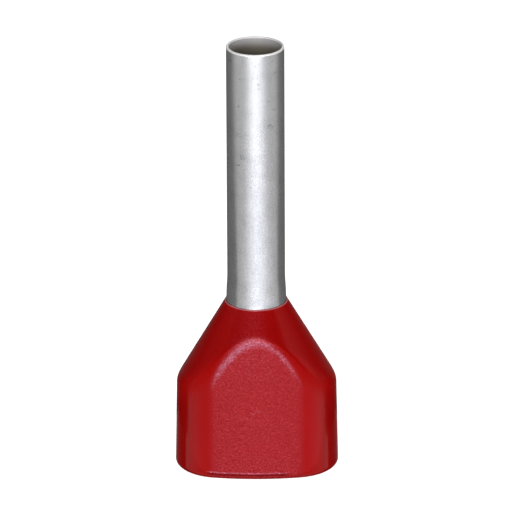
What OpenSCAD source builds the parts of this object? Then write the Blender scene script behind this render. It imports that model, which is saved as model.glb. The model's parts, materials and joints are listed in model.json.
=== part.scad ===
// Twin-wire insulated ferrule.
// Two stranded wires enter the oval plastic collar side by side, and their bare
// strands run together through a funnel into the tin-plated copper tube.
// Millimetres. Z = 0 is the collar's open rim, and +Z runs along the tube to its tip.
// X lies along the collar's width and Y along its depth.

/* [Tube] */
// Length of bare tube that stands out of the collar
pin_length = 10; // [8:0.5:14]
// Outside diameter of the tube
tube_diameter = 2.15; // [1.9:0.05:2.3]
// Thickness of the tube's wall
tube_wall = 0.1; // [0.08:0.01:0.15]

/* [Swage] */
// How much wider the tube's swaged foot is, all round
swage_step = 0.035; // [0.02:0.005:0.06]
// Height over which the tube widens to its swaged foot
swage_length = 0.24; // [0.2:0.01:0.4]

/* [Flare] */
// Height above the collar's top edge where the swaged foot starts to flare
flare_lead = 0.23; // [0.16:0.01:0.3]
// Radius of the bend from foot to flare, on the outside
flare_bend = 2; // [1.6:0.1:2.6]
// Angle between the flare and the axis, which the collar's funnel carries on
funnel_angle = 25; // [22:1:27]

/* [Collar] */
// Height of the collar
collar_height = 6.6; // [6:0.1:8]
// Width of the collar at its rim
collar_width = 6.1; // [5.8:0.1:7]
// Depth of the collar at its rim
collar_depth = 3.65; // [3.5:0.05:4.2]
// Thickness of the skirt's wall
collar_wall = 0.34; // [0.32:0.01:0.36]
// Angle between the cone and the axis
cone_angle = 30; // [28.8:0.2:33]
// Angle by which the skirt tapers, so that it leaves its mould
draft_angle = 1.2; // [0.5:0.1:2]
// Radius of the gently bowed front and back faces, as seen from above
face_radius = 9.5; // [8:0.5:30]
// Thickness of the plastic where it ends on the tube
neck_edge = 0.02; // [0.02:0.01:0.06]

/* [Roundings] */
// Radius between the cone and the skirt, which runs over the faces as an arch
shoulder_round = 0.75; // [0.3:0.05:0.9]
// Radius between the funnel and the inside of the skirt
funnel_round = 0.3; // [0.1:0.05:0.4]
// Radius of the rim's outer edge
rim_round = 0.22; // [0.1:0.01:0.24]
// Lead-in chamfer on the rim's inner edge
rim_chamfer = 0.05; // [0.03:0.01:0.07]

/* [Fit] */
// Play between the flared tube and its seat in the collar
seat_clearance = 0.01; // [0.01:0.005:0.03]
// Room between the flared end and the front and back of the cavity
mouth_clearance = 0.06; // [0.04:0.01:0.1]

/* [Hidden] */

circle_fn = 96;       // circles above 12 sides are true circles in the solids
column_count = 96;    // columns of the collar's skin, round the axis
bend_steps = 5;       // steps along each rounding of the collar
seat_steps = 5;       // steps down the collar's seat for the flare
swage_steps = 4;      // steps along each bend of the swage
flare_steps = 10;     // steps along the bend of the flare
tip_steps = 8;        // steps over the tube's round tip

tube_r = tube_diameter / 2;
bore_r = tube_r - tube_wall;
half_width = collar_width / 2;
half_depth = collar_depth / 2;
tip_z = collar_height + pin_length;

// The flare widens until it nearly fills the cavity from front to back.
mouth_r = half_depth - collar_wall - collar_height * tan(draft_angle) - mouth_clearance;
foot_r = tube_r + swage_step;
bend_z = collar_height + flare_lead;        // where the straight foot ends
bend_r = foot_r + flare_bend;               // centre of the flare's bend
bend_angle = min(funnel_angle, acos((bend_r - mouth_r) / flare_bend));
bend_end_r = bend_r - flare_bend * cos(bend_angle);
bend_end_z = bend_z - flare_bend * sin(bend_angle);
flare_length = (mouth_r - bend_end_r) / sin(bend_angle);
mouth_z = bend_end_z - flare_length * cos(bend_angle);

// The swage is two equal bends, out and back again.
swage_z = bend_z + swage_length;            // where the straight tube ends
swage_bend = (pow(swage_length, 2) + pow(swage_step, 2)) / (4 * swage_step);
swage_angle = asin(swage_length / 2 / swage_bend);

// The rim is an oval of four arcs that run smoothly into each other.
end_radius = (2 * face_radius * half_depth - pow(half_depth, 2) - pow(half_width, 2))
    / (2 * (face_radius - half_width));
end_x = half_width - end_radius;            // centre of each end's arc, from the axis
face_y = face_radius - half_depth;          // centre of each face's arc, behind the axis
join_angle = atan2(face_y, end_x);          // where end and face meet, seen from end_x

neck_r = flare_r(collar_height) + seat_clearance + neck_edge;

// --- The tube -------------------------------------------------------------------

// Outside radius of the tube's foot at height z: straight, then a bend, then a straight flare.
function flare_r(z) =
    z >= bend_z ? foot_r
    : z >= bend_end_z ? bend_r - sqrt(pow(flare_bend, 2) - pow(bend_z - z, 2))
    : bend_end_r + (bend_end_z - z) * tan(bend_angle);

// Points along an arc, from one angle to another. An arc that carries on from the point
// before it leaves out its own first point.
function arc(centre, radius, from, to, steps, first = 0) = [
    for (i = [first : steps])
        let (angle = from + (to - from) * i / steps)
        centre + radius * [cos(angle), sin(angle)]
];

// Section of the tube's wall, to the right of the axis.
module tube_section() {
    tip_r = tube_wall / 2;
    upper_centre = [tube_r + swage_bend, swage_z];
    lower_centre = [foot_r - swage_bend, bend_z];
    bend_centre = [bend_r, bend_z];
    mouth = [mouth_r, mouth_z];
    polygon(concat(
        // round tip, from the outside to the bore
        arc([tube_r - tip_r, tip_z - tip_r], tip_r, 0, 180, tip_steps),
        // inside of the swage and of the flare's bend
        arc(upper_centre, swage_bend + tube_wall, 180, 180 + swage_angle, swage_steps),
        arc(lower_centre, swage_bend - tube_wall, swage_angle, 0, swage_steps, 1),
        arc(bend_centre, flare_bend + tube_wall, 180, 180 + bend_angle, flare_steps, 1),
        // end of the straight flare, cut square to its wall
        flare_length > 0.001
        ? [mouth - tube_wall * [cos(bend_angle), sin(bend_angle)], mouth]
        : [],
        // outside of the flare's bend and of the swage, back up to the straight tube
        arc(bend_centre, flare_bend, 180 + bend_angle, 180, flare_steps),
        arc(lower_centre, swage_bend, 0, swage_angle, swage_steps, 1),
        arc(upper_centre, swage_bend, 180 + swage_angle, 180, swage_steps, 1)
    ));
}

module tin_plated_tube() {
    color("silver")
        rotate_extrude($fn = circle_fn)
            tube_section();
}

// --- The collar -----------------------------------------------------------------

// Distance from the axis to the oval, moved inwards by inset, in the direction of angle.
function oval_r(angle, inset) =
    let (
        x = abs(cos(angle)),
        y = abs(sin(angle)),
        end_r = end_radius - inset,
        face_r = face_radius - inset,
        in_end = y * (end_x + end_r * cos(join_angle)) <= x * end_r * sin(join_angle)
    )
    in_end
    ? end_x * x + sqrt(pow(end_r, 2) - pow(end_x * y, 2))
    : sqrt(pow(face_r, 2) - pow(face_y * x, 2)) - face_y * y;

// The skirt's wall at height z, moved inwards by inset.
function skirt_r(angle, z, inset) = oval_r(angle, inset + z * tan(draft_angle));

// How far a column of the skirt's wall comes inwards for each millimetre of height.
function skirt_slope(angle, inset) =
    (skirt_r(angle, 0, inset) - skirt_r(angle, collar_height, inset)) / collar_height;

// Points in [radius, z] that round the corner between a column of the skirt and a cone
// of the given angle through [top_r, top_z], from the skirt upwards.
function corner(angle, inset, top_r, top_z, cone, radius) =
    let (
        slope = skirt_slope(angle, inset),
        low_r = skirt_r(angle, 0, inset),
        lean = atan(slope),
        corner_z = (top_r + top_z * tan(cone) - low_r) / (tan(cone) - slope),
        corner_r = low_r - slope * corner_z,
        tangent = radius * tan((cone - lean) / 2),
        start = [corner_r + tangent * sin(lean), corner_z - tangent * cos(lean)],
        centre = start - radius * [cos(lean), sin(lean)]
    )
    [for (i = [0 : bend_steps])
        let (tilt = lean + (cone - lean) * i / bend_steps)
        centre + radius * [cos(tilt), sin(tilt)]];

function reverse(list) = [for (i = [len(list) - 1 : -1 : 0]) list[i]];

// One column of the collar's skin in [radius, z]: up the outside and down the inside.
function collar_column(angle) = concat(
    // rounded outer edge of the rim
    [for (i = [0 : bend_steps])
        let (turn = 90 * i / bend_steps, z = rim_round * (1 - cos(turn)))
        [skirt_r(angle, z, rim_round * (1 - sin(turn))), z]],
    // shoulder on the ends, arch on the faces
    corner(angle, 0, neck_r, collar_height, cone_angle, shoulder_round),
    [[neck_r, collar_height]],
    // seat round the flared tube, from the top edge down to the flare's end
    [for (i = [0 : seat_steps])
        let (z = collar_height + (mouth_z - collar_height) * i / seat_steps)
        [flare_r(z) + seat_clearance, z]],
    // funnel and the inside of the skirt
    reverse(corner(angle, collar_wall, mouth_r + seat_clearance, mouth_z, funnel_angle,
        funnel_round)),
    [
        [skirt_r(angle, rim_chamfer, collar_wall), rim_chamfer],
        [skirt_r(angle, 0, collar_wall - rim_chamfer), 0]
    ]
);

// Closed skin through columns that stand at the given angles round the axis.
module ring_of_columns(angles, columns) {
    count = len(columns);
    size = len(columns[0]);
    function at(column, row) = (column % count) * size + row % size;
    points = [for (c = [0 : count - 1], p = columns[c])
        [p[0] * cos(angles[c]), p[0] * sin(angles[c]), p[1]]];
    faces = [for (c = [0 : count - 1], r = [0 : size - 1])
        each [
            [at(c, r), at(c, r + 1), at(c + 1, r + 1)],
            [at(c, r), at(c + 1, r + 1), at(c + 1, r)]
        ]];
    polyhedron(points, faces);
}

module insulating_collar() {
    // the columns stand closer together on the narrow ends than on the faces
    angles = [for (i = [0 : column_count - 1])
        let (turn = 360 * i / column_count)
        atan2(half_depth * sin(turn), half_width * cos(turn))];
    color([0.68, 0.1, 0.13])
        ring_of_columns(angles, [for (angle = angles) collar_column(angle)]);
}

tin_plated_tube();
insulating_collar();
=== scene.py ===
"""Twin-wire insulated ferrule, standing on its collar on a white table.

The drawn tin-plated tube and the moulded collar are grown by Geometry Nodes from the same
rules as the solids: each is a skin of rings, whose radius is a formula of angle and height.
"""
import json
import math

import bpy
from mathutils import Matrix, Vector


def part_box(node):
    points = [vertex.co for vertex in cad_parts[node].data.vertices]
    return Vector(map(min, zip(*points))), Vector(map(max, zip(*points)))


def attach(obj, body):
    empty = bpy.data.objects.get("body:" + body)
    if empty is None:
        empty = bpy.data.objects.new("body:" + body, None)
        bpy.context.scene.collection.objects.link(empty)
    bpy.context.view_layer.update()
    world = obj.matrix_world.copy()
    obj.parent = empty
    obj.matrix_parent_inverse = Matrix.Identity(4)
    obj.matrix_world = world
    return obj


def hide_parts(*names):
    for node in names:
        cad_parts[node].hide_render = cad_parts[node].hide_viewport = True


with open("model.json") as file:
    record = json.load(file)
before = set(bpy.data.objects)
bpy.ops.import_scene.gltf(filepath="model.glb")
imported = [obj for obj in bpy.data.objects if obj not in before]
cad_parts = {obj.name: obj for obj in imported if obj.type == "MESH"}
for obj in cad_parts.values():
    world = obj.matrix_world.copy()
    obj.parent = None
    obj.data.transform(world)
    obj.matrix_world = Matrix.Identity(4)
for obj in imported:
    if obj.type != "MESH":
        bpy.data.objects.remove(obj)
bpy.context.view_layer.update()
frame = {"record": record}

MM = 0.001
WHITE = (1, 1, 1)

# --- Sizes ----------------------------------------------------------------------------
# What the frame says.
_, collar_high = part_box("insulating_collar")
tube_low, tube_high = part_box("tin_plated_tube")
mounts = {mount["name"]: mount for mount in frame["record"]["mounts"]}

COLLAR_HEIGHT = collar_high.z
TIP_Z = tube_high.z
MOUTH_Z = tube_low.z
TUBE_R = mounts["tube_outside"]["dims"]["r_mm"] * MM
TUBE_WALL = TUBE_R - mounts["tube_bore"]["dims"]["r_mm"] * MM

# Sizes that the frame doesn't give, given here.
SWAGE_STEP = 0.035 * MM
SWAGE_LENGTH = 0.8 * MM
FLARE_LEAD = 0.23 * MM
FLARE_BEND = 2 * MM
FUNNEL_ANGLE = math.radians(25)
CONE_ANGLE = math.radians(30)
DRAFT = math.tan(math.radians(1.2))
COLLAR_WALL = 0.34 * MM
FACE_RADIUS = 9.5 * MM
NECK_EDGE = 0.02 * MM
SEAT_CLEARANCE = 0.01 * MM
SHOULDER_BLEND = 0.1 * MM
CORNER_BLEND = 0.28 * MM
FUNNEL_BLEND = 0.04 * MM
RIM_ROUND = 0.22 * MM
RIM_CHAMFER = 0.05 * MM

# The rim is an oval of four arcs that run smoothly into each other. The collar is widest
# where the rounding of its rim ends.
HALF_WIDTH = collar_high.x + RIM_ROUND * DRAFT
HALF_DEPTH = collar_high.y + RIM_ROUND * DRAFT
END_RADIUS = (2 * FACE_RADIUS * HALF_DEPTH - HALF_DEPTH**2 - HALF_WIDTH**2) / (
    2 * (FACE_RADIUS - HALF_WIDTH)
)
END_X = HALF_WIDTH - END_RADIUS
FACE_Y = FACE_RADIUS - HALF_DEPTH
JOIN_ANGLE = math.atan2(FACE_Y, END_X)

FOOT_R = TUBE_R + SWAGE_STEP
BEND_Z = COLLAR_HEIGHT + FLARE_LEAD
BEND_DROP = FLARE_BEND * math.sin(FUNNEL_ANGLE)
NECK_R = (
    FOOT_R + FLARE_BEND - math.sqrt(FLARE_BEND**2 - FLARE_LEAD**2) + SEAT_CLEARANCE + NECK_EDGE
)


# --- Formulas in nodes ----------------------------------------------------------------
class Term:
    """A value that nodes work out, so that a rule can be written as plain arithmetic."""

    def __init__(self, tree, socket):
        self.tree = tree
        self.socket = socket

    def math(self, operation, *others):
        node = self.tree.nodes.new("ShaderNodeMath")
        node.operation = operation
        for slot, value in zip(node.inputs, (self, *others)):
            feed(self.tree, slot, value)
        return Term(self.tree, node.outputs[0])

    def __add__(self, other):
        return self.math("ADD", other)

    def __sub__(self, other):
        return self.math("SUBTRACT", other)

    def __mul__(self, other):
        return self.math("MULTIPLY", other)

    def __truediv__(self, other):
        return self.math("DIVIDE", other)

    def __pow__(self, other):
        return self.math("POWER", other)

    def __neg__(self):
        return self * -1

    def cos(self):
        return self.math("COSINE")

    def sin(self):
        return self.math("SINE")

    def abs(self):
        return self.math("ABSOLUTE")

    def root(self):
        return self.most(0).math("SQRT")

    def least(self, other):
        return self.math("MINIMUM", other)

    def most(self, other):
        return self.math("MAXIMUM", other)

    def blend_least(self, other, width):
        """The lesser of the two, rounded over where they cross."""
        return self.math("SMOOTH_MIN", other, width)

    def over(self, other):
        """1 where this is greater than the other, and 0 elsewhere."""
        return self.math("GREATER_THAN", other)

    def share(self, start, end):
        """How far this has come from start to end, held between 0 and 1."""
        return ((self - start) / (end - start)).most(0).least(1)

    def ease(self, start, end):
        """As share, with soft ends."""
        t = self.share(start, end)
        return t * t * (-t * 2 + 3)

    def band(self, low, full_from, full_to, high):
        """1 from full_from to full_to, easing to 0 at low and at high."""
        return self.ease(low, full_from) * self.ease(high, full_to)

    def bell(self, width):
        """1 where this is 0, falling away on both sides within about twice the width."""
        t = self / width
        return (-(t * t)).math("EXPONENT")

    def pick(self, low, high):
        """low where this is 0, high where it is 1, and a mix between."""
        return self * (high - low) + low


def feed(tree, slot, value):
    """Link a Term or an output to an input, or set the input to a number or a colour."""
    if isinstance(value, Term):
        value = value.socket
    if isinstance(value, bpy.types.NodeSocket):
        tree.links.new(value, slot)
    elif slot.type == "RGBA":
        slot.default_value = (*value, 1)
    else:
        slot.default_value = value


def set_inputs(tree, node, **inputs):
    """Feed a node's inputs, which are given by name, with _ for a space."""
    for name, value in inputs.items():
        feed(tree, node.inputs[name.replace("_", " ")], value)


def add_node(tree, kind, **inputs):
    node = tree.nodes.new(kind)
    set_inputs(tree, node, **inputs)
    return node


def add_object(name, data):
    thing = bpy.data.objects.new(name, data)
    bpy.context.scene.collection.objects.link(thing)
    return thing


# --- Skins of rings -------------------------------------------------------------------
MERGE_DISTANCE = 0.0002 * MM
SHARP_ANGLE = math.radians(35)


def skin_tree(name, labels, columns, rows, material, rule):
    """A Geometry Nodes tree that rolls a flat grid up into a closed skin of rings.

    labels name the tree's inputs. rule gets those inputs, each column's turn round the axis
    and each ring's way round the wall's section, from 0 to 1. It gives the angle, the radius
    and the height.
    """
    tree = bpy.data.node_groups.new(name, "GeometryNodeTree")
    for label in labels:
        tree.interface.new_socket(label, in_out="INPUT", socket_type="NodeSocketFloat")
    tree.interface.new_socket("Geometry", in_out="OUTPUT", socket_type="NodeSocketGeometry")
    group_in = tree.nodes.new("NodeGroupInput")
    given = {label: Term(tree, group_in.outputs[label]) for label in labels}

    grid = add_node(
        tree, "GeometryNodeMeshGrid", Size_X=1, Size_Y=1, Vertices_X=columns + 1, Vertices_Y=rows + 1
    )
    spot = tree.nodes.new("GeometryNodeInputPosition")
    place = add_node(tree, "ShaderNodeSeparateXYZ", Vector=spot.outputs["Position"])
    turn = (Term(tree, place.outputs["X"]) + 0.5) * math.tau
    way = Term(tree, place.outputs["Y"]) + 0.5

    angle, radius, height = rule(given, turn, way)
    point = add_node(
        tree, "ShaderNodeCombineXYZ", X=radius * angle.cos(), Y=radius * angle.sin(), Z=height
    )
    last = grid.outputs["Mesh"]
    for kind, inputs in (
        ("GeometryNodeSetPosition", {"Position": point.outputs["Vector"]}),
        ("GeometryNodeMergeByDistance", {"Distance": MERGE_DISTANCE}),
        ("GeometryNodeRealizeInstances", {}),
        ("GeometryNodeSetMaterial", {"Material": material}),
    ):
        last = add_node(tree, kind, Geometry=last, **inputs).outputs["Geometry"]
    add_node(tree, "NodeGroupOutput", Geometry=last)
    return tree


def bake_tree(tree, sizes):
    """What the tree grows from these sizes, as a plain mesh."""
    grower = add_object(tree.name + "_grower", bpy.data.meshes.new(tree.name + "_seed"))
    modifier = grower.modifiers.new("skin", "NODES")
    modifier.node_group = tree
    for item in tree.interface.items_tree:
        if item.in_out == "INPUT":
            modifier[item.identifier] = sizes[item.name]
    graph = bpy.context.evaluated_depsgraph_get()
    mesh = bpy.data.meshes.new_from_object(grower.evaluated_get(graph), depsgraph=graph)
    bpy.data.objects.remove(grower)
    return mesh


def grow_skin(name, sizes, columns, rows, material, rule):
    """A closed skin of rings round the axis, as a plain mesh object."""
    mesh = bake_tree(skin_tree(name, sizes, columns, rows, material, rule), sizes)
    mesh.name = name
    mesh.materials.clear()
    mesh.materials.append(material)
    mesh.polygons.foreach_set("material_index", [0] * len(mesh.polygons))
    mesh.polygons.foreach_set("use_smooth", [True] * len(mesh.polygons))
    mesh.set_sharp_from_angle(angle=SHARP_ANGLE)
    return add_object(name, mesh)


def flare_radius(given, height):
    """Outside radius of the tube's foot: straight, then a bend, then a straight flare."""
    drop = (given["Bend height"] - height).most(0)
    in_bend = drop.least(BEND_DROP)
    bend = given["Bend radius"]
    widening = bend - (bend * bend - in_bend * in_bend).root()
    return given["Foot radius"] + widening + (drop - in_bend) * math.tan(FUNNEL_ANGLE)


# --- The tube -------------------------------------------------------------------------
TUBE_COLUMNS = 256
TUBE_ROWS = 170
OUTSIDE_ENDS = 0.46  # share of the rings below which the tube's outside lies
BORE_STARTS = 0.54  # and above which its bore does


def tube_rule(given, turn, way):
    """Up the outside, over the round tip, down the bore and across the flare's end."""
    up = way.share(0, OUTSIDE_ENDS)
    tip = way.share(OUTSIDE_ENDS, BORE_STARTS) * math.pi
    down = way.share(BORE_STARTS, 1 - 1 / TUBE_ROWS)
    across = way.over(1 - 0.5 / TUBE_ROWS)
    half_wall = given["Wall"] / 2
    shank = given["Tip height"] - half_wall - given["Mouth height"]
    climb = up * (-down + 1)
    # the rings stand closer together towards the flare
    height = given["Mouth height"] + shank * climb * climb + half_wall * tip.sin()
    swage = (height - given["Bend height"]).ease(0, SWAGE_LENGTH)
    outside = flare_radius(given, height) - swage * (given["Foot radius"] - given["Tube radius"])
    return turn, outside - half_wall * (-tip.cos() + 1) * (-across + 1), height


def make_tube():
    sizes = {
        "Tip height": TIP_Z,
        "Mouth height": MOUTH_Z,
        "Tube radius": TUBE_R,
        "Foot radius": FOOT_R,
        "Wall": TUBE_WALL,
        "Bend height": BEND_Z,
        "Bend radius": FLARE_BEND,
    }
    tube = grow_skin("drawn_tube", sizes, TUBE_COLUMNS, TUBE_ROWS, tin_plate(), tube_rule)
    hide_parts("tin_plated_tube")
    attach(tube, "root")


# --- The collar -----------------------------------------------------------------------
COLLAR_COLUMNS = 384
COLLAR_OUTER_ROWS = 164
COLLAR_ROWS = COLLAR_OUTER_ROWS + 64
RIM_CROWDING = 1.5  # above 1, the rings stand closer together towards the rim
CORNER_BAND = (0.58, 0.8, 0.9, 0.99)  # where the corners lie, by the cosine of the angle


def oval_radius(angle, inset):
    """Distance from the axis to the oval, moved inwards by inset, along angle."""
    x = angle.cos().abs()
    y = angle.sin().abs()
    end_r = -inset + END_RADIUS
    face_r = -inset + FACE_RADIUS
    on_end = y * END_X * -1 + (x * math.sin(JOIN_ANGLE) - y * math.cos(JOIN_ANGLE)) * end_r
    end = x * END_X + (end_r * end_r - (y * END_X) ** 2).root()
    face = (face_r * face_r - (x * FACE_Y) ** 2).root() - y * FACE_Y
    return on_end.over(0).pick(face, end)


def collar_rule(given, turn, way):
    """Up the outside, over the thin top edge, down the seat and the cavity."""
    angle = (turn.sin() * HALF_DEPTH).math("ARCTAN2", turn.cos() * HALF_WIDTH)
    up = way.share(0, (COLLAR_OUTER_ROWS - 1) / COLLAR_ROWS)
    down = way.share(COLLAR_OUTER_ROWS / COLLAR_ROWS, 1 - 1 / COLLAR_ROWS)
    inside = way.over((COLLAR_OUTER_ROWS - 0.5) / COLLAR_ROWS) - way.over(1 - 0.5 / COLLAR_ROWS)
    top = given["Collar height"]
    height = top * (up * (-down + 1)) ** RIM_CROWDING

    below_round = (-height + RIM_ROUND).most(0)
    rounding = -(-(below_round**2) + RIM_ROUND**2).root() + RIM_ROUND
    skirt = oval_radius(angle, height * DRAFT + rounding)
    cone = (top - height) * math.tan(CONE_ANGLE) + NECK_R
    corner = angle.cos().abs().band(*CORNER_BAND)
    outer = skirt.blend_least(cone, corner * CORNER_BLEND + SHOULDER_BLEND)

    chamfer = (-height + RIM_CHAMFER).most(0)
    cavity = oval_radius(angle, height * DRAFT - chamfer + given["Collar wall"])
    seat = flare_radius(given, height) + SEAT_CLEARANCE
    inner = cavity.blend_least(seat, FUNNEL_BLEND)
    return angle, inside.pick(outer, inner), height


def make_collar():
    sizes = {
        "Collar height": COLLAR_HEIGHT,
        "Collar wall": COLLAR_WALL,
        "Foot radius": FOOT_R,
        "Bend height": BEND_Z,
        "Bend radius": FLARE_BEND,
    }
    plastic = red_plastic()
    collar = grow_skin(
        "moulded_collar", sizes, COLLAR_COLUMNS, COLLAR_ROWS, plastic, collar_rule
    )
    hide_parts("insulating_collar")
    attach(collar, "root")


# --- Finishes, with painted highlights and shade --------------------------------------
# Places and sizes on a piece are in millimetres here.
def place_terms(tree):
    """The place on the piece, in metres, as an output and as the terms x, y and z."""
    spot = tree.nodes.new("ShaderNodeTexCoord").outputs["Object"]
    parts = add_node(tree, "ShaderNodeSeparateXYZ", Vector=spot)
    return spot, [Term(tree, output) for output in parts.outputs]


def new_material(name):
    """A material with its tree, its shader, and the place on the piece as output and terms."""
    material = bpy.data.materials.new(name)
    material.use_nodes = True
    tree = material.node_tree
    spot, place = place_terms(tree)
    return material, tree, tree.nodes["Principled BSDF"], spot, [term / MM for term in place]


def noise(tree, spot, size, detail, stretch=(1, 1, 1), offset=0):
    """Noise between 0 and 1, whose lumps are about size across, times stretch."""
    scale = [1 / (size * MM * side) for side in stretch]
    place = add_node(tree, "ShaderNodeMapping", Vector=spot, Scale=scale, Location=[offset] * 3)
    made = add_node(
        tree, "ShaderNodeTexNoise", Vector=place.outputs["Vector"], Scale=1, Detail=detail
    )
    return Term(tree, made.outputs[0])


def mix_colours(tree, share, low, high):
    """low where share is 0, high where it is 1, and a mix between."""
    node = tree.nodes.new("ShaderNodeMix")
    node.data_type = "RGBA"
    slots = {slot.identifier: slot for slot in (*node.inputs, *node.outputs)}
    feed(tree, slots["Factor_Float"], share)
    feed(tree, slots["A_Color"], low)
    feed(tree, slots["B_Color"], high)
    return slots["Result_Color"]


def bumps(tree, height, depth):
    """Bumps up to depth high, for a shader's normal."""
    bump = add_node(tree, "ShaderNodeBump", Height=height, Distance=depth * MM, Strength=1)
    return bump.outputs["Normal"]


# Tin plate
TIN_DARK = (0.345, 0.345, 0.345)
TIN_PALE = (0.455, 0.455, 0.455)
TIN_SCUFF = (0.24, 0.235, 0.23)
TIN_TINT = (0.6, 0.6, 0.6)
# painted highlight on the tip's rim
TIP_PAINTED_HIGHLIGHT = (0.88, 0.88, 0.86)
# painted shade deep in the bore, fading to the paler mouth
BORE_PAINTED_SHADE = (0.29, 0.265, 0.21)
BORE_MOUTH = (0.52, 0.5, 0.51)


def tin_plate():
    """Drawn tube with a satin tin skin: speckled, faintly streaked and scuffed near its tip, with a
    painted highlight on its tip's rim and painted shade down its bore.
    """
    material, tree, shader, spot, (x, y, z) = new_material("tin_plate")
    patches = noise(tree, spot, size=0.6, detail=3)
    streaks = noise(tree, spot, size=0.08, detail=2, stretch=(1, 1, 5))
    specks = noise(tree, spot, size=0.055, detail=1)
    scuffs = noise(tree, spot, size=0.35, detail=4, stretch=(1, 1, 0.5), offset=3)
    into_wall = -(x * x + y * y).root() + TUBE_R / MM
    below_tip = -z + TIP_Z / MM
    wall = TUBE_WALL / MM
    inside = into_wall.ease(0.4 * wall, 0.9 * wall)
    # the tip's rim, where a near-white highlight is painted
    rim = below_tip.ease(0.07, 0.04)
    scuffed = scuffs.ease(0.63, 0.72) * z.ease(10, 13) * specks.ease(0.4, 0.6)

    tone = (patches * 0.3 + streaks * 0.25 + specks * 0.45).share(0.3, 0.7)
    skin = mix_colours(tree, tone, TIN_DARK, TIN_PALE)
    skin = mix_colours(tree, scuffed, skin, TIN_SCUFF)
    # painted shade: the bore turns darker with depth below the tip
    bore = mix_colours(tree, below_tip.ease(0.5, 0.12), BORE_PAINTED_SHADE, BORE_MOUTH)
    colour = mix_colours(tree, inside, skin, bore)
    # painted highlight: the tip's rim is painted near-white and is not metallic
    colour = mix_colours(tree, rim, colour, TIP_PAINTED_HIGHLIGHT)
    dull = inside.most(rim)
    rough = patches * 0.04 + z.ease(8, 15) * 0.06 + 0.2
    set_inputs(
        tree,
        shader,
        Base_Color=colour,
        Metallic=dull * -0.75 + 1,
        Roughness=rough + dull * 0.35,
        Specular_Tint=TIN_TINT,
        Normal=bumps(tree, specks * 0.6 + streaks * 0.4, 0.002),
    )
    return material


# Red plastic
SMOOTH_DARK = (0.285, 0.0024, 0.0022)
SMOOTH_PALE = (0.3, 0.0034, 0.0032)
# the cone: painted shade at its front and painted light towards its sides
CONE_PAINTED_SHADE = (0.287, 0.0012, 0.001)
CONE_PAINTED_LIGHT = (0.35, 0.002, 0.002)
FACE_DARK = (0.24, 0.002, 0.0025)
FACE_PALE = (0.325, 0.007, 0.0075)
# darker red ground under the arch's painted highlight
ARCH_RED = (0.25, 0.006, 0.006)
# painted highlight: pink painted where the glints are
PAINTED_GLINT_PINK = (0.42, 0.1, 0.15)
# painted shade under the lip, also used for the darker seam line
PAINTED_SHADE_AND_SEAM_RED = (0.15, 0.001, 0.002)
# painted highlight along the collar's thin top edge
EDGE_PAINTED_HIGHLIGHT = (0.75, 0.4, 0.43)
SMOOTH_TINT = (1, 0.05, 0.06)
CONE_TINT = (1, 0.15, 0.15)
FACE_TINT = (1, 0.27, 0.35)
GLINT_TINT = (1, 0.6, 0.85)
PLASTIC_IOR = 1.49
EVEN_LEVEL = 0.35  # the gloss that stands in where a varying one can't be kept

ARCH_GAP = 0.09  # how far inside the cone the arch runs at the middle of a face
ARCH_DROOP = 0.13  # and how much farther to the sides, times x squared
SOFTEST_SHOULDER = 0.5
FACE_SIDES = (1.85, 1.45)  # x where the grain fades in from the side
NECK_HEIGHTS = (5.85, 5.45)  # z where grain and arch set in below the neck
SEAM_X = -0.2
PIN_X = 0.1
PIN_Z = 2.47
PIN_RADIUS = 0.3
PIN_LINE = 0.04

# A band eases in between its first two numbers, and out between its last two.
ARCH_ACROSS = (-1.8, -1.3, 1.1, 1.8)
LIP_ACROSS = (-1.95, -1.65, 1, 1.3)
LIP_HEIGHTS = (0.26, 0.28, 0.31, 0.34)
LIP_SHADE_HEIGHTS = (0.17, 0.2, 0.25, 0.27)
SEAM_HEIGHTS = (3.2, 3.8, 5, 5.3)


def collar_zones(x, y, z):
    """How much of a place is the cone, its sides, the grained faces and the arches over them."""
    radius = (x * x + y * y).root()
    # how far the skin lies inside the cone: 0 on it, and more the farther down the skirt
    gap = -radius - z * math.tan(CONE_ANGLE) + (NECK_R + COLLAR_HEIGHT * math.tan(CONE_ANGLE)) / MM
    arch_line = x * x * ARCH_DROOP + ARCH_GAP
    on_cone = (gap / arch_line.least(SOFTEST_SHOULDER)).ease(1.2, 0.35)
    # to_side turns the cone's painted shade into painted light
    to_side = (x.abs() / radius).ease(0.5, 1)
    from_arch = gap - arch_line
    below_neck = z.ease(*NECK_HEIGHTS)
    on_face = x.abs().ease(*FACE_SIDES) * from_arch.ease(-0.12, 0.02) * below_neck
    # the arch band, which carries a painted highlight as well as gloss, is wider to the left and above
    # its line, and fades to the right and at the neck
    width = x.ease(0.5, -1.2) * 0.04 + from_arch.ease(0.02, -0.04) * 0.02 + 0.07
    arch = from_arch.bell(width) * x.band(*ARCH_ACROSS)
    arch = arch * (x.ease(0.8, -0.4) * 0.25 + 0.75) * (below_neck * 0.62 + 0.38)
    return on_cone, to_side, on_face, arch


def mould_marks(x, y, z):
    """The mould's marks in front: a lip over the rim and the painted shade under it, a seam, and an
    ejector pin's ring. The lip and the ring get painted highlights.
    """
    front = (-y).over(0)
    # the lip and its painted shade stop short of the collar's ends
    along_lip = front * x.band(*LIP_ACROSS)
    lip = along_lip * z.band(*LIP_HEIGHTS)
    under_lip = along_lip * z.band(*LIP_SHADE_HEIGHTS)
    seam = front * (x - SEAM_X).abs().ease(0.04, 0.01) * z.band(*SEAM_HEIGHTS)
    from_ring = ((x - PIN_X) ** 2 + (z - PIN_Z) ** 2).root() - PIN_RADIUS
    # the ring's painted highlight is strongest in its upper half and to the left
    ring = from_ring.bell(PIN_LINE) * (z.ease(2.55, 2.75) * 0.75 + 0.25) * front
    ring = ring * (x.ease(0.3, -0.1) * 0.6 + 0.4)
    return lip, under_lip, seam, ring


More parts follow.
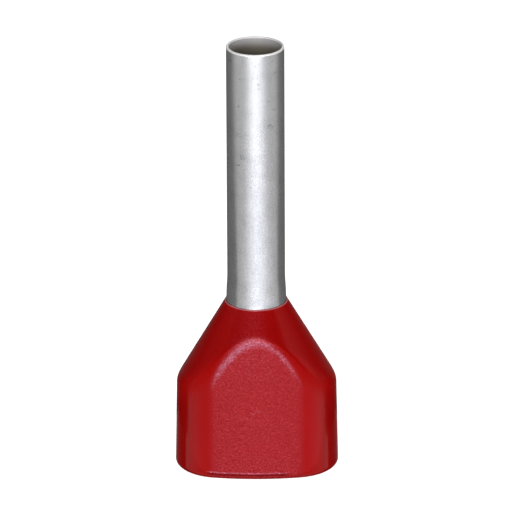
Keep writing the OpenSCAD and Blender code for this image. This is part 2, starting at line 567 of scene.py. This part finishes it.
def red_plastic():
    """Red plastic from a mould that is grained on the faces and polished everywhere else. Its colour
    also holds painted highlights, painted shade under the lip, and painted shade and light on the
    cone.
    """
    material, tree, shader, spot, (x, y, z) = new_material("red_plastic")
    grain = noise(tree, spot, size=0.075, detail=2)
    sparkle = noise(tree, spot, size=0.05, detail=1, offset=7)
    cloud = noise(tree, spot, size=0.8, detail=3)
    speck = grain.share(0.35, 0.65) * 0.5 + sparkle.share(0.3, 0.7) * 0.5
    on_cone, to_side, on_face, arch = collar_zones(x, y, z)
    lip, under_lip, seam, ring = mould_marks(x, y, z)
    # sparkles on the grained faces, as gloss and as painted highlights
    sparkle_glints = on_face * sparkle.ease(0.55, 0.72) * (z.ease(3, 5) * 0.5 + z.ease(1.5, 0.4) * 0.4 + 0.25)
    # the collar's top edge, which gets a painted highlight
    top_edge = (-z + COLLAR_HEIGHT / MM).ease(0.05, 0.02)
    # glint: where the gloss rises and pink highlights are painted, along the arch, lip, pin's ring,
    # face sparkles and top edge
    glint = arch * (speck * 0.9 + 0.45) + lip * (speck + 0.2) + ring * 0.25 + sparkle_glints * 0.4
    glint = (glint + top_edge * 0.5).least(1)

    smooth = mix_colours(tree, cloud.share(0.3, 0.7), SMOOTH_DARK, SMOOTH_PALE)
    # painted shade on the cone's front, painted light towards its sides
    cone = mix_colours(tree, to_side, CONE_PAINTED_SHADE, CONE_PAINTED_LIGHT)
    face = mix_colours(tree, speck, FACE_DARK, FACE_PALE)
    colour = mix_colours(tree, on_cone, smooth, cone)
    colour = mix_colours(tree, on_face, colour, face)
    # the arch band: a darker red ground under its painted highlight
    colour = mix_colours(tree, arch, colour, ARCH_RED)
    # painted highlight: pink painted into the colour where the glints are
    colour = mix_colours(tree, glint * speck * 0.5, colour, PAINTED_GLINT_PINK)
    # painted shade under the lip, and the darker seam line
    colour = mix_colours(tree, under_lip.most(seam * 0.3), colour, PAINTED_SHADE_AND_SEAM_RED)
    # painted highlight: the top edge is painted pale pink
    colour = mix_colours(tree, top_edge * 0.3, colour, EDGE_PAINTED_HIGHLIGHT)

    # the gloss fades where the skin is seen from the side
    facing = Term(tree, add_node(tree, "ShaderNodeLayerWeight", Blend=0.5).outputs["Facing"])
    faded = facing.ease(0.5, 0.15)
    polished = facing.ease(0.44, 0.38) * facing.ease(0.2, 0.38).pick(0.7, 0.25)
    plain = on_cone.pick(polished, faded * 0.2 + 0.008) + 0.002
    plain = on_face.pick(plain, faded * (speck * 0.24 + 0.31))
    level = plain * (under_lip * -0.6 + 1) + glint * (speck * 0.55 + 0.1)
    tint = mix_colours(tree, on_cone, SMOOTH_TINT, CONE_TINT)
    tint = mix_colours(tree, on_face, tint, FACE_TINT)
    tint = mix_colours(tree, glint, tint, GLINT_TINT)

    shader.inputs["Specular IOR Level"].default_value = EVEN_LEVEL
    set_inputs(
        tree,
        shader,
        Base_Color=colour,
        IOR=PLASTIC_IOR,
        Specular_IOR_Level=level,
        Specular_Tint=tint,
        Roughness=on_cone * 0.1 + on_face * 0.22 + 0.16,
        Normal=bumps(tree, grain * (on_face.most(glint) * 0.9 + 0.1), 0.02),
    )
    return material


# --- Table and camera -----------------------------------------------------------------
FLOOR_SIZE = 4
FLOOR_GREY = (0.8, 0.8, 0.8)
FLOOR_GLOW = 0.9
VIEW_HEIGHT = math.radians(21.67)
VIEW_TURN = math.radians(0.35)
VIEW_ROLL = math.radians(-0.261)
VIEW_DISTANCE = 260 * MM
VIEW_AIM = Vector((0.052 * MM, 0, 8.24 * MM))
LENS = 490.1


def floor_white():
    """White where it is seen, itself or in a reflection, with the object's shadow kept."""
    material = bpy.data.materials.new("floor_white")
    material.use_nodes = True
    tree = material.node_tree
    tree.nodes.remove(tree.nodes["Principled BSDF"])
    path = tree.nodes.new("ShaderNodeLightPath")
    seen = Term(tree, path.outputs["Is Camera Ray"])
    for ray in ("Is Glossy Ray", "Is Transmission Ray"):
        seen = seen.most(Term(tree, path.outputs[ray]))
    paint = add_node(tree, "ShaderNodeBsdfDiffuse", Color=FLOOR_GREY)
    glow = add_node(tree, "ShaderNodeEmission", Color=WHITE, Strength=seen * FLOOR_GLOW)
    both = add_node(tree, "ShaderNodeAddShader")
    tree.links.new(paint.outputs["BSDF"], both.inputs[0])
    tree.links.new(glow.outputs["Emission"], both.inputs[1])
    tree.links.new(both.outputs["Shader"], tree.nodes["Material Output"].inputs["Surface"])
    return material


def make_floor():
    bpy.ops.mesh.primitive_plane_add(size=FLOOR_SIZE)
    floor = bpy.context.object
    floor.name = "floor"
    floor.data.materials.append(floor_white())


def direction(azimuth, elevation):
    """From the object outwards, with azimuth 0 in front of it. Both are in radians."""
    return Vector((
        math.sin(azimuth) * math.cos(elevation),
        -math.cos(azimuth) * math.cos(elevation),
        math.sin(elevation),
    ))


def make_camera():
    data = bpy.data.cameras.new("camera")
    data.lens = LENS
    data.clip_start = 0.01
    data.clip_end = 10
    camera = add_object("camera", data)
    back = direction(VIEW_TURN, VIEW_HEIGHT)
    camera.location = VIEW_AIM + back * VIEW_DISTANCE
    aim = (-back).to_track_quat("-Z", "Y").to_matrix().to_4x4()
    turn = Matrix.Rotation(VIEW_ROLL, 4, "Z")
    camera.rotation_euler = (aim @ turn).to_euler()
    bpy.context.scene.camera = camera


# --- Lamps and cards ------------------------------------------------------------------
ROOM_GLOW = 0.08
LAMP_DISTANCE = 0.4
LAMP_AIM = Vector((0, 0, 6 * MM))

# Grey cards close to the object, left, right and behind
FLAG_X = 6.5 * MM
FLAG_BACK = 4.5 * MM
FLAG_HEIGHT = 18 * MM
FLAG_GREY = 0.32
LOW_FLAG_HEIGHT = 3.5 * MM
LOW_FLAG_GREY = 0.08
LEFT_LOW_FRONT = -0.9 * MM
RIGHT_LOW_FRONT = -1.0 * MM

# The side cards turn from grey to white about a middle line that leans back, over a fade
# that is short low down and long high up, and they end a reach in front of that line.
LEFT_FLAG_MIDDLE = -2.93 * MM
RIGHT_FLAG_MIDDLE = -0.45 * MM
LEFT_FLAG_LEAN = 0.2
RIGHT_FLAG_LEAN = 0.04
FLAG_REACH = 1.82 * MM
FLAG_SHARP_FADE = 1.2 * MM
FLAG_SHARP_Z = 5.5 * MM
FLAG_SOFT_FADE = 2.8 * MM
FLAG_SOFT_Z = 11 * MM

# The white card that lies in front, with a bright streak that widens away from the object
CARD_NEAR = -2 * MM
CARD_FAR = -120 * MM
CARD_WIDTH = 120 * MM
CARD_LIFT = 0.1 * MM
STREAK_X = 3.0 * MM
STREAK_WIDTH = 9.5 * MM
STREAK_SPREAD = 0.33
STREAK_GLOW = 1.38
WARM_WHITE = (0.97, 0.97, 0.985)
COOL_WHITE = (0.9, 0.915, 1)

# The strip of light at the card's far end
STRIP_HALF_WIDTH = 70 * MM
STRIP_LOW = 1 * MM
STRIP_HIGH = 22 * MM
STRIP_GLOW = 9


def make_world():
    world = bpy.data.worlds.new("room")
    world.use_nodes = True
    background = world.node_tree.nodes["Background"]
    set_inputs(world.node_tree, background, Color=WHITE, Strength=ROOM_GLOW)
    bpy.context.scene.world = world


def add_softbox(name, azimuth, elevation, size, glow):
    """A soft rectangular lamp that looks at the object. Angles are in degrees, size in metres.

    Azimuth 0 is in front of the object. A glow of 1 makes the lamp's own face white.
    """
    width, height = size
    data = bpy.data.lights.new(name, "AREA")
    data.shape = "RECTANGLE"
    data.size = width
    data.size_y = height
    data.energy = math.pi * width * height * glow
    lamp = add_object(name, data)
    back = direction(math.radians(azimuth), math.radians(elevation))
    lamp.location = LAMP_AIM + back * LAMP_DISTANCE
    lamp.rotation_euler = (-back).to_track_quat("-Z", "Y").to_euler()
    lamp.visible_camera = False


def add_card(name, corners, paint):
    """A card beside the object that shows only in its reflections."""
    mesh = bpy.data.meshes.new(name)
    mesh.from_pydata(corners, [], [(0, 1, 2, 3)])
    mesh.materials.append(paint)
    card = add_object(name, mesh)
    card.visible_camera = False
    card.visible_diffuse = False
    card.visible_shadow = False


def glowing_paint(name, strength=1):
    """A white paint that glows evenly, with its tree and the node that makes it glow."""
    paint = bpy.data.materials.new(name)
    paint.use_nodes = True
    tree = paint.node_tree
    tree.nodes.remove(tree.nodes["Principled BSDF"])
    glow = add_node(tree, "ShaderNodeEmission", Color=WHITE, Strength=strength)
    tree.links.new(glow.outputs["Emission"], tree.nodes["Material Output"].inputs["Surface"])
    return paint, tree, glow


def side_card(x, low_front, high_front, low, high):
    """Corners of an upright card at x, from its front edge, which may lean, to behind."""
    return [(x, low_front, low), (x, FLAG_BACK, low), (x, FLAG_BACK, high), (x, high_front, high)]


def add_low_flags():
    """Dark cards left and right, beside the collar's skirt."""
    paint, _, _ = glowing_paint("low_flag", LOW_FLAG_GREY)
    for name, x, front in (
        ("left_low_flag", -FLAG_X, LEFT_LOW_FRONT),
        ("right_low_flag", FLAG_X, RIGHT_LOW_FRONT),
    ):
        add_card(name, side_card(x, front, front, 0, LOW_FLAG_HEIGHT), paint)


def add_side_flags():
    """Grey cards left and right that turn white towards their front edges."""
    for name, x, middle, lean in (
        ("left_flag", -FLAG_X, LEFT_FLAG_MIDDLE, LEFT_FLAG_LEAN),
        ("right_flag", FLAG_X, RIGHT_FLAG_MIDDLE, RIGHT_FLAG_LEAN),
    ):
        paint, tree, glow = glowing_paint(name)
        _, (_, y, z) = place_terms(tree)
        fade = z.ease(FLAG_SHARP_Z, FLAG_SOFT_Z).pick(FLAG_SHARP_FADE, FLAG_SOFT_FADE)
        whiteness = ((y - z * lean - middle) / -fade + 0.5).share(0, 1)
        set_inputs(tree, glow, Strength=whiteness.pick(FLAG_GREY, FLOOR_GLOW))
        front = middle - FLAG_REACH
        corners = side_card(
            x,
            front + LOW_FLAG_HEIGHT * lean,
            front + FLAG_HEIGHT * lean,
            LOW_FLAG_HEIGHT,
            FLAG_HEIGHT,
        )
        add_card(name, corners, paint)


def facing_card(half_width, y, low, high):
    """Corners of an upright card across the view, at y."""
    return [(-half_width, y, low), (half_width, y, low), (half_width, y, high), (-half_width, y, high)]


def add_back_flag():
    paint, _, _ = glowing_paint("back_flag", FLAG_GREY)
    add_card("back_flag", facing_card(FLAG_X, FLAG_BACK, 0, FLAG_HEIGHT), paint)


def add_strip():
    """A low strip of light far in front, which the arch over the collar's faces mirrors."""
    paint, _, _ = glowing_paint("strip_light", STRIP_GLOW)
    add_card("strip_light", facing_card(STRIP_HALF_WIDTH, CARD_FAR, STRIP_LOW, STRIP_HIGH), paint)


def add_front_card():
    """A white card that lies in front, brightest along its middle."""
    paint, tree, glow = glowing_paint("white_card")
    _, (x, y, _) = place_terms(tree)
    streak = (x - STREAK_X).abs().bell(y * -STREAK_SPREAD + STREAK_WIDTH)
    set_inputs(
        tree,
        glow,
        Strength=streak * STREAK_GLOW + FLOOR_GLOW,
        Color=mix_colours(tree, streak, WARM_WHITE, COOL_WHITE),
    )
    side = CARD_WIDTH / 2
    corners = [
        (-side, CARD_FAR, CARD_LIFT),
        (side, CARD_FAR, CARD_LIFT),
        (side, CARD_NEAR, CARD_LIFT),
        (-side, CARD_NEAR, CARD_LIFT),
    ]
    add_card("front_card", corners, paint)


make_camera()
make_floor()
make_world()
add_softbox("key_softbox", azimuth=-2, elevation=12, size=(0.1, 0.16), glow=20)
add_softbox("left_softbox", azimuth=-20, elevation=12, size=(0.12, 0.16), glow=5.4)
add_softbox("right_softbox", azimuth=85, elevation=15, size=(0.2, 0.22), glow=2.4)
add_low_flags()
add_side_flags()
add_back_flag()
add_front_card()
add_strip()
add_softbox("top_softbox", azimuth=0, elevation=80, size=(0.3, 0.3), glow=0.8)
add_softbox("back_softbox", azimuth=172, elevation=22, size=(0.2, 0.2), glow=5)
make_tube()
make_collar()

bpy.context.scene.view_settings.view_transform = "Standard"
bpy.context.view_layer.update()
